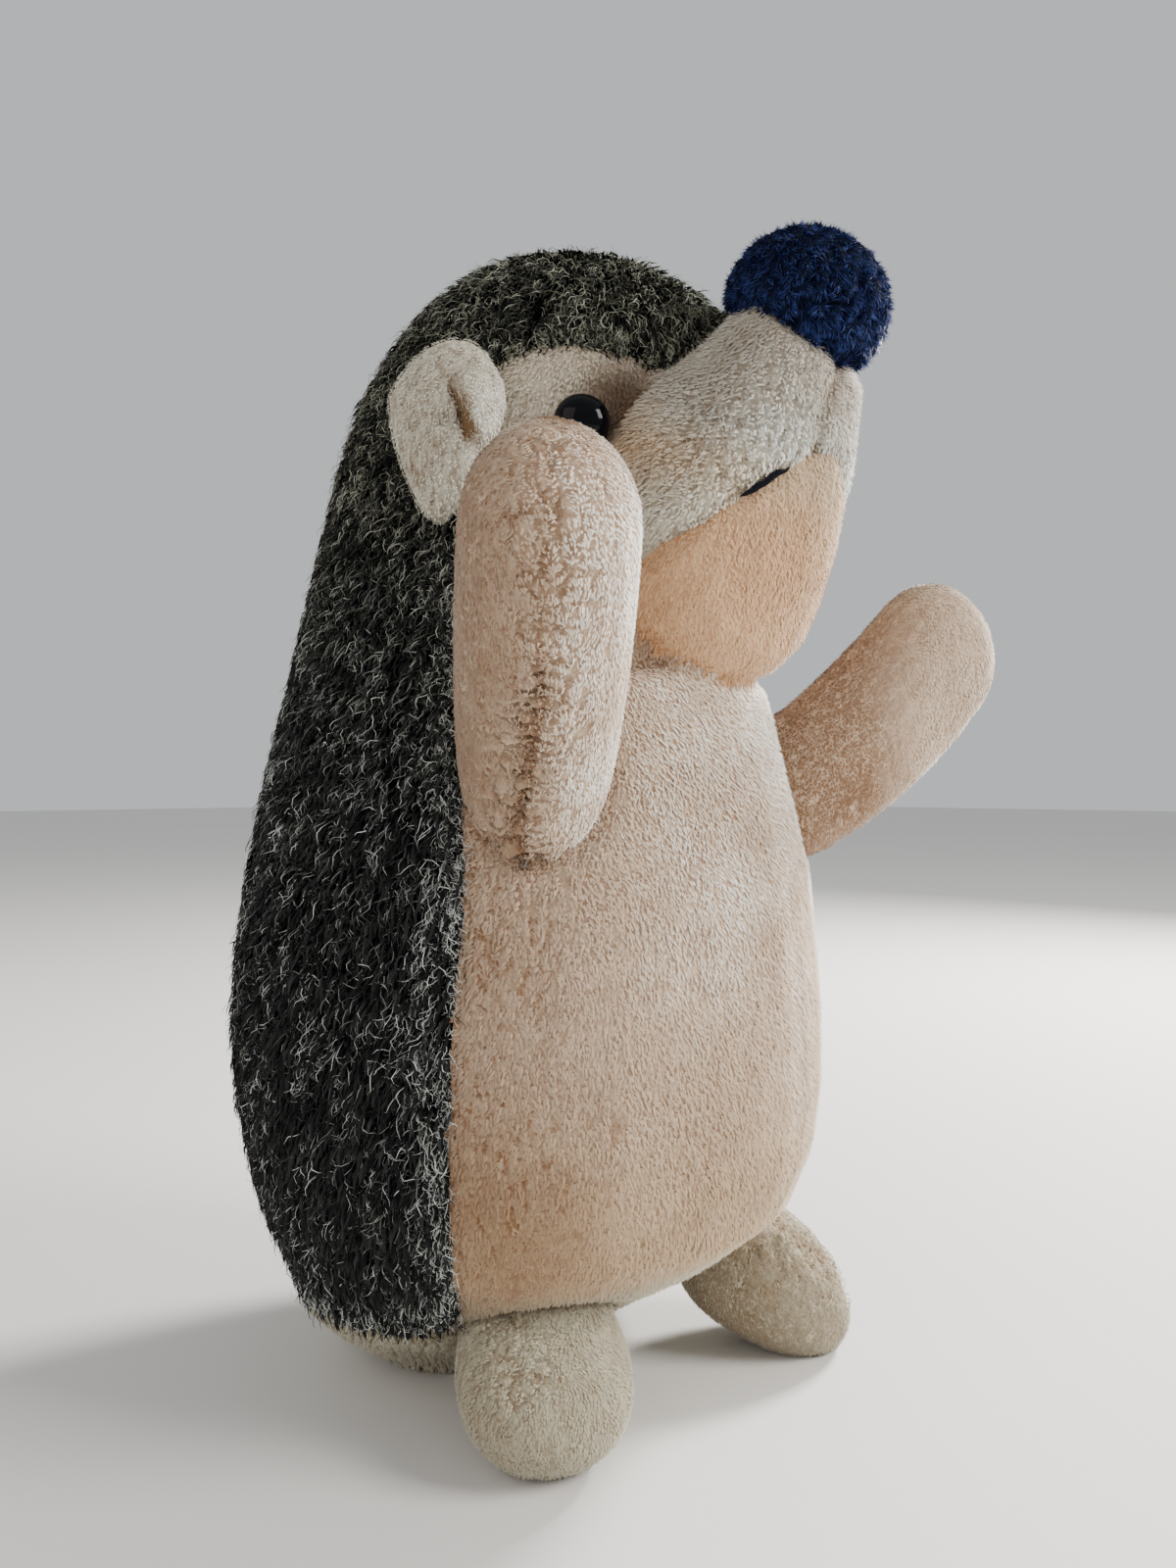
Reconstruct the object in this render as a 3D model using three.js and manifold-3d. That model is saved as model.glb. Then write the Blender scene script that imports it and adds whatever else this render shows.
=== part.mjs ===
// A standing plush toy hedgehog, about 270 mm tall.
//
// Frame: millimetres, +Z up, floor at z = 0. The toy faces -Y, its right side is -X, and the
// upright axis of its body is x = y = 0. A stuffed shell of dark pile covers the back, the sides
// and the crown. Tan plush makes the belly, seat, face, snout, ears, arms and feet.
// The solids reach out to the tips of the pile.

import * as THREE from 'three';
import { mergeVertices } from 'three/addons/utils/BufferGeometryUtils.js';
import Module from 'manifold-3d';

const wasm = await Module();
wasm.setup();

// ---------------------------------------------------------------- driving dimensions

const HEIGHT = 267;          // floor to crown
const NECK_HEIGHT = 161;     // where the chin meets the chest
const GAP = 0.3;             // clearance between pieces that are sewn together
const HEAD_TURN = 10;        // degrees that the head looks to its own left
const TURN_FROM = 152;       // the neck twists between these two heights
const TURN_TO = 200;

const BODY_SIDES = 40;       // facets around the body
const BODY_RINGS = 24;       // rings up the body
const SNOUT_SIDES = 24;
const SNOUT_RINGS = 9;
const LIMB_SIDES = 18;
const LINE_STEPS = 24;       // steps along a seam
const BEYOND = 150;          // a distance that is outside the toy, for cutting solids

// Outlines of the body and head, as [reach from the upright axis, height].
const BACK_OUTLINE = [
  [27, 0], [40, 8], [51.5, 22], [62, 42], [69.5, 68], [70, 95], [65.5, 128], [57.5, 172],
  [49.5, 209], [43.5, 228], [34.5, 243.5], [23, 255.5], [10, 263], [-3, HEIGHT],
];
const SIDE_OUTLINE = [
  [30, 0], [43, 8], [57, 22], [67.5, 42], [72, 70], [71.5, 95], [66.5, 128], [57, 165],
  [49, 195], [46, 213], [42, 230], [34.5, 245], [22, 257.5], [11, 263.5], [0, HEIGHT],
];
const FRONT_OUTLINE = [
  [12, 0], [21, 8], [42, 21], [61, 33], [71, 46], [75, 68], [74, 92], [71.5, 122], [63, 156],
  [55, 180], [54, 205], [57, 228], [60, 239.5], [50.5, 249.5], [36.5, 258.5], [18, 264], [3, HEIGHT],
];

// The line where dark pile meets tan plush above the seat, seen from the side, as
// [reach forward, height].
const SEAT_TOP = 19;
const SEAM_LINE = [
  [4, SEAT_TOP - 1], [18, 20], [29, 24], [37, 33], [42, 47], [44.5, 66], [45, 100], [44, 124],
  [37, 148], [27, 180], [20, 204], [19.5, 217], [26, 226], [38, 228.5], [50, 226], [75, 218],
];

// The snout fans upward. Each station has its top and its bottom, as [forward, height],
// its half width, and how much narrower it is above than below.
const SNOUT_STATIONS = [
  { top: [38, 232], bottom: [38, 158], halfWidth: 33.5, narrow: 0.28 },
  { top: [50, 235.5], bottom: [53, 156], halfWidth: 33.5, narrow: 0.32 },
  { top: [56, 237.5], bottom: [66.5, 160], halfWidth: 30, narrow: 0.36 },
  { top: [59.5, 238.5], bottom: [76, 176], halfWidth: 25.5, narrow: 0.34 },
  { top: [63, 239.5], bottom: [83.5, 196], halfWidth: 21, narrow: 0.15 },
  { top: [67, 240.5], bottom: [88.5, 218], halfWidth: 16.5, narrow: -0.05 },
];
const SNOUT_END = [81, 236];
const MOUTH_LINE = [[10, 158], [34, 170], [54, 180], [73, 191.5], [86, 205], [98, 218]];
const MOUTH_STITCH = { from: 73.7, to: 82, thick: 0.8, high: 1.5 };

const NOSE = { forward: 77, height: 236.5, radius: 17.8, flatten: 0.9, tilt: 24 };
const EYE = { angle: 42.6, height: 210.4, radius: 6.2, dome: 5.2, lift: 0.6 };

// Ears: a cupped lobe that narrows below to a point, which leans toward the face, and a slit.
const EAR = { angle: 74.5, height: 209.4, wide: 14.8, tall: 19.8, thick: 7, stand: 3 };
const EAR_POINT = { from: 0.25, narrow: 0.42, lean: 2, thin: 0.25 };
const EAR_SLIT = { wide: 1.2, tall: 0.34, tilt: 26, aside: 0.24, above: 0.1, out: 1.2 };

// Arms: each leaves the body at its own angle from straight ahead and height, points its own way,
// and is stuffed its own amount.
const ARM_ROOT = 14;         // length inside the body before it is cut by it
const ARM_HALF_WIDTH = 15.6;
const ARM_HALF_HEIGHT = 19.2;
const ARM_SHOULDER = 0.94;   // how full the arm is at its root, between its ends and at its paw
const ARM_MIDDLE = 1.03;
const ARM_PAW = 0.94;
const RIGHT_ARM = {
  angle: 41, height: 141, way: [-0.42, -0.53, 0.73], length: 68.5, bend: 8, stuffing: 1,
};
const LEFT_ARM = {
  angle: 42, height: 137, way: [0.59, -0.44, 0.69], length: 65, bend: 21, stuffing: 0.91,
};

// Feet: each points outward from the body's axis by its own angle, to its own reach, with its toe
// tipped down by its own pitch.
const FOOT = { heel: 29, heelRise: 0.2, sink: 1.8, square: 0.85 };
const RIGHT_FOOT = { angle: 36, toe: 72, halfWidth: 18.5, height: 33, pitch: 0 };
const LEFT_FOOT = { angle: 42, toe: 77.5, halfWidth: 17.5, height: 31, pitch: 25 };

// ---------------------------------------------------------------- materials

function cloth(color, roughness = 0.95) {
  return new THREE.MeshStandardMaterial({ color, roughness, metalness: 0 });
}

const DARK_PILE = cloth(0x2b2c28);
const TAN_PLUSH = cloth(0xc9a682);
const JAW_PLUSH = cloth(0xcda07a);
const MUZZLE_PLUSH = cloth(0xb9a182);
const EAR_PLUSH = cloth(0xdcc8a4);
const NAVY_YARN = cloth(0x10163a);
const BLACK_GLOSS = cloth(0x08090c, 0.12);

// ---------------------------------------------------------------- meshes and solids

function indexedMesh(points, faces) {
  const geometry = new THREE.BufferGeometry();
  geometry.setAttribute('position', new THREE.Float32BufferAttribute(points.flat(), 3));
  geometry.setIndex(faces.flat());
  return geometry;
}

/** A closed loft: rings of equal length, from the first to the last, with a point at each end. */
function loft(rings, startPoint, endPoint) {
  const count = rings[0].length;
  const points = [...rings.flat(), startPoint, endPoint];
  const first = points.length - 2;
  const last = points.length - 1;
  const faces = [];
  for (let r = 0; r < rings.length; r += 1) {
    for (let i = 0; i < count; i += 1) {
      const here = r * count + i;
      const next = r * count + ((i + 1) % count);
      if (r === 0) faces.push([first, next, here]);
      if (r === rings.length - 1) faces.push([last, here, next]);
      else faces.push([here, next, next + count], [here, next + count, here + count]);
    }
  }
  return indexedMesh(points, faces);
}

function solid(geometry) {
  const bare = geometry.clone();
  for (const name of ['normal', 'uv']) bare.deleteAttribute(name);
  const merged = mergeVertices(bare, 1e-4);
  const mesh = new wasm.Mesh({
    numProp: 3,
    vertProperties: new Float32Array(merged.attributes.position.array),
    triVerts: new Uint32Array(merged.index.array),
  });
  const made = new wasm.Manifold(mesh);
  if (made.status() !== 'NoError') throw new Error(`not a closed mesh: ${made.status()}`);
  return made.volume() < 0 ? reversed(merged) : made;
}

function reversed(geometry) {
  const index = Array.from(geometry.index.array);
  for (let i = 0; i < index.length; i += 3) [index[i], index[i + 1]] = [index[i + 1], index[i]];
  return new wasm.Manifold(new wasm.Mesh({
    numProp: 3,
    vertProperties: new Float32Array(geometry.attributes.position.array),
    triVerts: new Uint32Array(index),
  }));
}

function geometryOf(manifold) {
  const mesh = manifold.getMesh();
  const geometry = new THREE.BufferGeometry();
  geometry.setAttribute('position', new THREE.BufferAttribute(mesh.vertProperties, 3));
  geometry.setIndex(new THREE.BufferAttribute(mesh.triVerts, 1));
  return geometry;
}

/** Moves every vertex of a solid by a function of its position. */
function reshape(geometry, move) {
  const position = geometry.attributes.position;
  const point = new THREE.Vector3();
  for (let i = 0; i < position.count; i += 1) {
    point.fromBufferAttribute(position, i);
    move(point);
    position.setXYZ(i, point.x, point.y, point.z);
  }
  return geometry;
}

const radians = THREE.MathUtils.degToRad;

const UP = new THREE.Vector3(0, 0, 1);

/** Turns a point with the body: not at all below the neck, as far as the head goes above it. */
function turned(point) {
  const share = THREE.MathUtils.smoothstep(point.z, TURN_FROM, TURN_TO);
  return point.applyAxisAngle(UP, radians(HEAD_TURN) * share);
}

/** A solid of the head, which is made facing straight ahead and turned as a whole. */
function headSolid(geometry) {
  return solid(geometry.rotateZ(radians(HEAD_TURN)));
}

// ---------------------------------------------------------------- body and head

function smoothOutline(outline) {
  const curve = new THREE.SplineCurve(outline.map(([reach, height]) => new THREE.Vector2(reach, height)));
  return curve.getPoints(outline.length * 12);
}

/** The reach of a smooth outline at a height. */
function reachAt(points, height) {
  for (let i = 1; i < points.length; i += 1) {
    const low = points[i - 1];
    const high = points[i];
    if (height <= high.y) {
      const share = (height - low.y) / Math.max(high.y - low.y, 1e-6);
      return THREE.MathUtils.lerp(low.x, high.x, THREE.MathUtils.clamp(share, 0, 1));
    }
  }
  return points[points.length - 1].x;
}

const backPoints = smoothOutline(BACK_OUTLINE);
const sidePoints = smoothOutline(SIDE_OUTLINE);
const frontPoints = smoothOutline(FRONT_OUTLINE);

/** A point on the body's surface. The angle is from straight ahead toward the toy's left. */
function bodyPoint(angle, height, grow = 0) {
  const back = reachAt(backPoints, height) + grow;
  const front = reachAt(frontPoints, height) + grow;
  const side = reachAt(sidePoints, height) + grow;
  const middle = (back - front) / 2;
  const length = (back + front) / 2;
  const point = new THREE.Vector3(side * Math.sin(angle), middle - length * Math.cos(angle), height);
  return turned(point).toArray();
}

/** The whole body and head out to the tips of the pile, or a little more. */
function bodyLoft(grow = 0) {
  const rings = [];
  for (let r = 0; r < BODY_RINGS; r += 1) {
    // Rings crowd toward the floor and the crown, where the outline turns fastest.
    const share = (1 - Math.cos((Math.PI * r) / BODY_RINGS)) / 2;
    const height = HEIGHT * share;
    const ring = [];
    for (let i = 0; i < BODY_SIDES; i += 1) {
      ring.push(bodyPoint((2 * Math.PI * i) / BODY_SIDES, height, grow));
    }
    rings.push(ring);
  }
  const base = bodyPoint(0, 0);
  return loft(rings, [0, base[1] / 4, 0], [0, 0, HEIGHT + grow]);
}

/** A slab across the whole width, with the given outline seen from the side. */
function sideSlab(outline) {
  const shape = new THREE.Shape(outline.map(([forward, height]) => new THREE.Vector2(-forward, height)));
  const depth = 2 * BEYOND;
  const geometry = new THREE.ExtrudeGeometry(shape, { depth, bevelEnabled: false });
  geometry.translate(0, 0, -BEYOND);
  // Shape x becomes y, shape y becomes z, and the depth becomes x.
  return reshape(geometry, (p) => p.set(p.z, p.x, p.y));
}

function sampled(line, steps) {
  const curve = new THREE.SplineCurve(line.map(([x, y]) => new THREE.Vector2(x, y)));
  return curve.getPoints(steps).map((p) => [p.x, p.y]);
}

/** All that lies in front of the dark pile's edge, with that edge moved by `clear`. */
function tanSide(clear = 0) {
  const across = [BEYOND, 62, 48, 30, 0, -30, -48, -62, -BEYOND];
  const rings = sampled(SEAM_LINE, LINE_STEPS).map(([forward, height]) => {
    // Where the neck twists, the edge only moves forward, so that its two copies stay apart.
    const twisting = height > TURN_FROM && height < TURN_TO;
    const level = twisting ? height : height - clear;
    const edge = across.map((x) => [x, forward + clear]).reverse();
    const corners = [...edge, [BEYOND, BEYOND], [-BEYOND, BEYOND]];
    return corners.map(([x, ahead]) => turned(new THREE.Vector3(x, -ahead, level)).toArray());
  });
  const middle = (ring) => ring[0].map((value, k) => (value + ring[across.length][k]) / 2);
  return solid(loft(rings, middle(rings[0]), middle(rings[rings.length - 1])));
}

/** All that lies above a height, and all that lies below it. */
function above(height) {
  const top = HEIGHT + BEYOND;
  return solid(sideSlab([[-BEYOND, height], [BEYOND, height], [BEYOND, top], [-BEYOND, top]]));
}

function below(height) {
  return solid(sideSlab([[-BEYOND, -BEYOND], [BEYOND, -BEYOND], [BEYOND, height], [-BEYOND, height]]));
}

// ---------------------------------------------------------------- snout

/** An oval ring between a top and a bottom point of the middle plane. */
function snoutRing({ top, bottom, halfWidth, narrow }, grow = 0) {
  const middle = [(top[0] + bottom[0]) / 2, (top[1] + bottom[1]) / 2];
  const rise = [(top[0] - bottom[0]) / 2, (top[1] - bottom[1]) / 2];
  const half = Math.hypot(...rise);
  const stretch = (half + grow) / half;
  const ring = [];
  for (let i = 0; i < SNOUT_SIDES; i += 1) {
    const angle = (2 * Math.PI * i) / SNOUT_SIDES;
    const high = Math.cos(angle) * stretch;
    const wide = Math.sin(angle) * (1 - narrow * high) * (halfWidth + grow);
    ring.push([wide, -(middle[0] + rise[0] * high), middle[1] + rise[1] * high]);
  }
  return ring;
}

function snoutLoft(grow = 0) {
  const tops = new THREE.SplineCurve(SNOUT_STATIONS.map((s) => new THREE.Vector2(...s.top)));
  const bottoms = new THREE.SplineCurve(SNOUT_STATIONS.map((s) => new THREE.Vector2(...s.bottom)));
  const widths = new THREE.SplineCurve(SNOUT_STATIONS.map((s) => new THREE.Vector2(s.halfWidth, s.narrow)));
  const rings = [];
  for (let k = 0; k <= SNOUT_RINGS; k += 1) {
    const t = k / SNOUT_RINGS;
    const top = tops.getPoint(t).toArray();
    const bottom = bottoms.getPoint(t).toArray();
    const { x: halfWidth, y: narrow } = widths.getPoint(t);
    rings.push(snoutRing({ top, bottom, halfWidth, narrow }, grow));
  }
  const start = SNOUT_STATIONS[0];
  const end = SNOUT_END;
  return loft(
    rings,
    [0, -(start.top[0] + start.bottom[0]) / 2, (start.top[1] + start.bottom[1]) / 2],
    [0, -(end[0] + grow), end[1] + grow],
  );
}

/** Everything between the mouth line and the same line raised by `high`, over part of its run. */
function mouthBand(from, to, high) {
  const line = sampled(MOUTH_LINE, 2 * LINE_STEPS).filter(([forward]) => forward >= from && forward <= to);
  const raised = line.map(([forward, height]) => [forward, height + high]).reverse();
  return headSolid(sideSlab([...line.map(([forward, height]) => [forward, height - high]), ...raised]));
}

/** The stitched mouth: a thread that hugs the snout along its seam, on one side of the face. */
function mouthStitch(side) {
  const { from, to, thick, high } = MOUTH_STITCH;
  const shell = headSolid(snoutLoft(GAP + thick)).subtract(headSolid(snoutLoft(GAP)));
  const size = 2 * BEYOND;
  const half = headSolid(new THREE.BoxGeometry(size, size, 2 * size).translate(side * (BEYOND + GAP), 0, 0));
  return shell.intersect(mouthBand(from, to, high / 2)).intersect(half);
}

function upperSnoutSide(clear = 0) {
  const line = sampled(MOUTH_LINE, LINE_STEPS / 2).map(([forward, height]) => [forward, height + clear]);
  const top = HEIGHT + BEYOND;
  return headSolid(sideSlab([...line, [line.at(-1)[0], top], [line[0][0], top]]));
}

// ---------------------------------------------------------------- small pieces

function ellipsoid(radii, widthSegments, heightSegments) {
  const geometry = new THREE.SphereGeometry(1, widthSegments, heightSegments);
  geometry.scale(...radii);
  return geometry;
}

function noseBall(grow = 0) {
  const radius = NOSE.radius + grow;
  const geometry = ellipsoid([radius, radius, radius * NOSE.flatten], 22, 14);
  geometry.rotateX(radians(NOSE.tilt));
  geometry.translate(0, -NOSE.forward, NOSE.height);
  return headSolid(geometry);
}

/** Stands a piece that is made along +Z at a point of the body, pointing out of it. */
function onBody(geometry, angle, height, lift = 0) {
  const at = new THREE.Vector3(...bodyPoint(angle, height, lift));
  const between = (from, to) => new THREE.Vector3(...bodyPoint(...to)).sub(
    new THREE.Vector3(...bodyPoint(...from)));
  const turn = radians(1);
  const beside = between([angle - turn, height], [angle + turn, height]);
  const over = between([angle, height - 1], [angle, height + 1]);
  const out = new THREE.Vector3().crossVectors(beside, over).normalize();
  const right = new THREE.Vector3().crossVectors(over, out).normalize();
  const up = new THREE.Vector3().crossVectors(out, right).normalize();
  return geometry.applyMatrix4(new THREE.Matrix4().makeBasis(right, up, out).setPosition(at));
}

function eyeButton(side) {
  const geometry = ellipsoid([EYE.radius, EYE.radius, EYE.dome], 16, 12);
  return solid(onBody(geometry, side * radians(EYE.angle), EYE.height, EYE.lift));
}

/** A folded ear: round above, drawn to a point below, and open in a slit toward the face. */
function earTab(side) {
  const lobe = ellipsoid([EAR.wide, EAR.tall, EAR.thick], 18, 12);
  reshape(lobe, (p) => {
    const drop = Math.max(0, EAR_POINT.from - p.y / EAR.tall);
    p.x = p.x * (1 - EAR_POINT.narrow * drop) - side * EAR_POINT.lean * drop;
    p.z *= 1 - EAR_POINT.thin * drop;
  });
  const slit = ellipsoid([EAR_SLIT.wide, EAR.tall * EAR_SLIT.tall, EAR.thick], 10, 8);
  slit.rotateZ(radians(side * -EAR_SLIT.tilt));
  slit.translate(-side * EAR.wide * EAR_SLIT.aside, EAR.tall * EAR_SLIT.above, EAR.thick * EAR_SLIT.out);
  const place = (geometry) => solid(onBody(geometry, side * radians(EAR.angle), EAR.height, EAR.stand));
  return place(lobe).subtract(place(slit));
}

/** Distances along a limb and how full it is there, with a round end of the given length. */
function limbStations(reach, endLength) {
  const shaftRings = 6;
  const endRings = 6;
  const stations = [];
  for (let k = 0; k < shaftRings; k += 1) {
    stations.push({ along: ((reach - endLength) * k) / shaftRings, full: 1 });
  }
  for (let k = 0; k < endRings; k += 1) {
    const angle = (Math.PI / 2) * (k / endRings);
    stations.push({ along: reach - endLength + endLength * Math.sin(angle), full: Math.cos(angle) });
  }
  return stations;
}

function oval(wide, high, place) {
  const ring = [];
  for (let i = 0; i < LIMB_SIDES; i += 1) {
    const angle = (2 * Math.PI * i) / LIMB_SIDES;
    ring.push(place(Math.cos(angle) * wide, Math.sin(angle) * high));
  }
  return ring;
}

/** A stuffed tube with a round paw. It starts inside the body and curls up toward its end. */
function arm(side, { angle, height, way, length, bend, stuffing }) {
  const reach = length + ARM_ROOT;
  const axis = new THREE.Vector3(...way).normalize();
  const across = new THREE.Vector3(0, 0, 1).cross(axis).normalize();
  const over = new THREE.Vector3().crossVectors(axis, across);
  const start = new THREE.Vector3(...bodyPoint(side * radians(angle), height, -2));
  const at = (along, x, y) => start.clone()
    .addScaledVector(axis, along - ARM_ROOT)
    .addScaledVector(across, x)
    .addScaledVector(over, y + bend * ((along / reach) ** 2 - along / reach))
    .toArray();
  const rings = limbStations(reach, ARM_HALF_WIDTH).map(({ along, full }) => {
    const share = along / reach;
    const ends = THREE.MathUtils.lerp(ARM_SHOULDER, ARM_PAW, share);
    const size = full * stuffing * THREE.MathUtils.lerp(ends, ARM_MIDDLE, 4 * share * (1 - share));
    return oval(ARM_HALF_WIDTH * size, ARM_HALF_HEIGHT * size, (x, y) => at(along, x, y));
  });
  return solid(loft(rings, at(0, 0, 0), at(reach, 0, 0)));
}

/** A stuffed pad that points outward and rests on a small flat. */
function foot(side, { angle, toe, halfWidth, height, pitch }) {
  const length = toe - FOOT.heel;
  const square = (value) => Math.sign(value) * Math.abs(value) ** FOOT.square;
  const pad = ellipsoid([1, 1, 1], 20, 14);
  reshape(pad, (p) => {
    // The heel is taller than the toe, and the pad is squarer than an oval.
    const tall = (height / 2) * (1 + FOOT.heelRise * p.y);
    p.set(square(p.x) * halfWidth, (square(p.y) * length) / 2, tall * (p.z + 1));
  });
  pad.rotateX(radians(pitch));
  pad.computeBoundingBox();
  pad.translate(0, -(FOOT.heel + length / 2), -pad.boundingBox.min.z - FOOT.sink);
  pad.rotateZ(side * radians(angle));
  return solid(pad).intersect(above(0));
}

// ---------------------------------------------------------------- the toy

const toy = new THREE.Group();

function add(name, manifold, material) {
  const mesh = new THREE.Mesh(geometryOf(manifold), material);
  mesh.name = name;
  toy.add(mesh);
}

const body = solid(bodyLoft());
const bodyRoom = solid(bodyLoft(GAP));
const trunk = body.intersect(below(NECK_HEIGHT - GAP / 2));
const head = body.intersect(above(NECK_HEIGHT + GAP / 2));
const snout = headSolid(snoutLoft());
const snoutRoom = headSolid(snoutLoft(GAP));
const nose = noseBall().subtract(snoutRoom);
const noseRoom = noseBall(GAP);
const front = tanSide(GAP / 2);
const frontRoom = tanSide(-GAP / 2);

const sides = [['right', -1], ['left', 1]];
const feet = [foot(-1, RIGHT_FOOT), foot(1, LEFT_FOOT)];
const arms = [arm(-1, RIGHT_ARM), arm(1, LEFT_ARM)];
const upperTrunk = trunk.intersect(above(SEAT_TOP + GAP));

add('back', upperTrunk.subtract(frontRoom), DARK_PILE);
add('belly', upperTrunk.intersect(front).subtract(snoutRoom), TAN_PLUSH);
add('seat', trunk.intersect(below(SEAT_TOP)), TAN_PLUSH);
add('hood', head.subtract(frontRoom).subtract(snoutRoom).subtract(noseRoom), DARK_PILE);
add('face', head.intersect(front).subtract(snoutRoom), TAN_PLUSH);
add('muzzle', snout.intersect(upperSnoutSide(GAP / 2)), MUZZLE_PLUSH);
add('jaw', snout.subtract(upperSnoutSide(-GAP / 2)), JAW_PLUSH);
add('nose', nose, NAVY_YARN);
sides.forEach(([name, side], i) => {
  add(`eye_${name}`, eyeButton(side).subtract(bodyRoom).subtract(snoutRoom), BLACK_GLOSS);
  add(`ear_${name}`, earTab(side).subtract(bodyRoom), EAR_PLUSH);
  add(`mouth_${name}`, mouthStitch(side), NAVY_YARN);
  add(`arm_${name}`, arms[i].subtract(bodyRoom), TAN_PLUSH);
  add(`foot_${name}`, feet[i].subtract(bodyRoom), TAN_PLUSH);
});

export default toy;
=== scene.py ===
"""A plush toy hedgehog: cloth skins, pile, curly fur, yarn and thread over its solid frame."""
import functools
import math

import bmesh
import bpy
import numpy as np
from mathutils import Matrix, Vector
from mathutils.bvhtree import BVHTree
from mathutils.kdtree import KDTree


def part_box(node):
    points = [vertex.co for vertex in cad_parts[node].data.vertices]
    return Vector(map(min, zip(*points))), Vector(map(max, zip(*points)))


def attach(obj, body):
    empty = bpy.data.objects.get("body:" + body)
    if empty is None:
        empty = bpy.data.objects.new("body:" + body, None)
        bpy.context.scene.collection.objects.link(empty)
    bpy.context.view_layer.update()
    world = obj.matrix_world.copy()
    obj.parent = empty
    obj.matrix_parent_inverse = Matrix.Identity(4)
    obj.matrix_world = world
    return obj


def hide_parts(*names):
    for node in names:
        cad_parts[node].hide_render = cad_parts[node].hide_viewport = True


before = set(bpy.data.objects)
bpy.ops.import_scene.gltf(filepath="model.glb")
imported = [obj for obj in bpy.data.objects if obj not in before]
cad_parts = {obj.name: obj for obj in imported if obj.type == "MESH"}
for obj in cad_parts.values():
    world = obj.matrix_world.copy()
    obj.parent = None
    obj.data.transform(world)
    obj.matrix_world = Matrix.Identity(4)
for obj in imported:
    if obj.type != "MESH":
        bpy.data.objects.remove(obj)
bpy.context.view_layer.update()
MM = 0.001
DOWN = np.array([0.0, 0.0, -1.0])
SIDES = ("right", "left")

# The stuffed body is one skin, parted where its panels are sewn together.
PANELS = ("back", "belly", "seat", "hood", "face", "muzzle", "jaw")
DARK_PANELS = ("back", "hood")
BODY_VOXEL = 1.05 * MM
LIMB_VOXEL = 0.8 * MM
EAR_VOXEL = 0.65 * MM
NOSE_VOXEL = 0.45 * MM
SWELL = 0.4 * MM

# Depth of each skin under the tips of its pile.
TAN_DEPTH = 1.2 * MM
LIMB_DEPTH = 0.6 * MM
EAR_DEPTH = 0.9 * MM
FACE_DEPTH = 2.2 * MM
FUR_DEPTH = 4.4 * MM
SEAM_DEPTH = 3.0 * MM

# The grooves pressed into the body: along the panels' seams, down the middle of the snout, and
# round the roots of the limbs.
SEAM_GROOVE = 1.5 * MM
SEAM_WIDTH = 1.8 * MM
SNOUT_GROOVE = 2.2 * MM
SNOUT_SEAM_WIDTH = 1.7 * MM
LIMB_DENT = 1.3 * MM

FLOOR_CLEAR = 0.05 * MM

UV_NAME = "OFBake"
UV_PATCH = 0.003
COLOUR_NAME = "pile"


# ---- numbers and noise


def unit(vectors):
    """The same vectors with length one."""
    return vectors / np.maximum(np.linalg.norm(vectors, axis=-1, keepdims=True), 1e-12)


def smooth(low, high, values):
    """0 below low, 1 above high, and a soft step between."""
    t = np.clip((values - low) / (high - low), 0, 1)
    return t * t * (3 - 2 * t)


def bell(values, width):
    """1 where a value is 0, falling softly to 0 over a few widths."""
    return np.exp(-((values / width) ** 2))


def varied(value, count, rng, low=0.7, span=0.6):
    """The value times a random number between low and low + span, for each of count tufts."""
    return value * (low + span * rng.random(count))


def lattice(cells, seed):
    """A repeatable number from 0 to 1 for each whole-number cell."""
    h = cells[..., 0] * 374761393 + cells[..., 1] * 668265263 + cells[..., 2] * 987643211
    h = (h + seed * 1274126177) & 0xFFFFFFFF
    h = ((h ^ (h >> 13)) * 1274126177) & 0xFFFFFFFF
    return ((h ^ (h >> 16)) & 0xFFFFF) / 0xFFFFF


def noise(points, size, seed=0):
    """Smooth noise from 0 to 1 whose blobs are about size across."""
    p = points / size
    cell = np.floor(p).astype(np.int64)
    f = p - cell
    f = f * f * (3 - 2 * f)
    total = 0
    for corner in np.ndindex(2, 2, 2):
        weight = np.prod(np.where(corner, f, 1 - f), axis=-1)
        total = total + weight * lattice(cell + np.array(corner), seed)
    return total


def swirl(points, size, seed=0):
    """A smooth random vector at each point."""
    return np.stack([noise(points, size, seed + k) * 2 - 1 for k in range(3)], axis=-1)


def clumps(points, size, seed=0, stretch=(1, 1, 1)):
    """Clumps packed side by side: how near each point is to its clump's middle (1 there), the way
    to it, and the clump's own random number. stretch makes the clumps longer along x, y or z.
    """
    scale = size * np.array(stretch, dtype=float)
    p = points / scale
    cell = np.floor(p).astype(np.int64)
    near = np.full(len(p), 9.0)
    way = np.zeros_like(p)
    own = np.zeros(len(p))
    for step in np.ndindex(3, 3, 3):
        at = cell + np.array(step) - 1
        jitter = np.stack([lattice(at, seed + k) for k in range(3)], axis=-1) - 0.5
        offset = at + 0.5 + 0.8 * jitter - p
        far = np.linalg.norm(offset, axis=-1)
        closer = far < near
        near = np.where(closer, far, near)
        way = np.where(closer[:, None], offset, way)
        own = np.where(closer, jitter[:, 0] + 0.5, own)
    return np.clip(1 - near * near * 1.5, 0, 1), way * scale, own


# ---- skins


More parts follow.
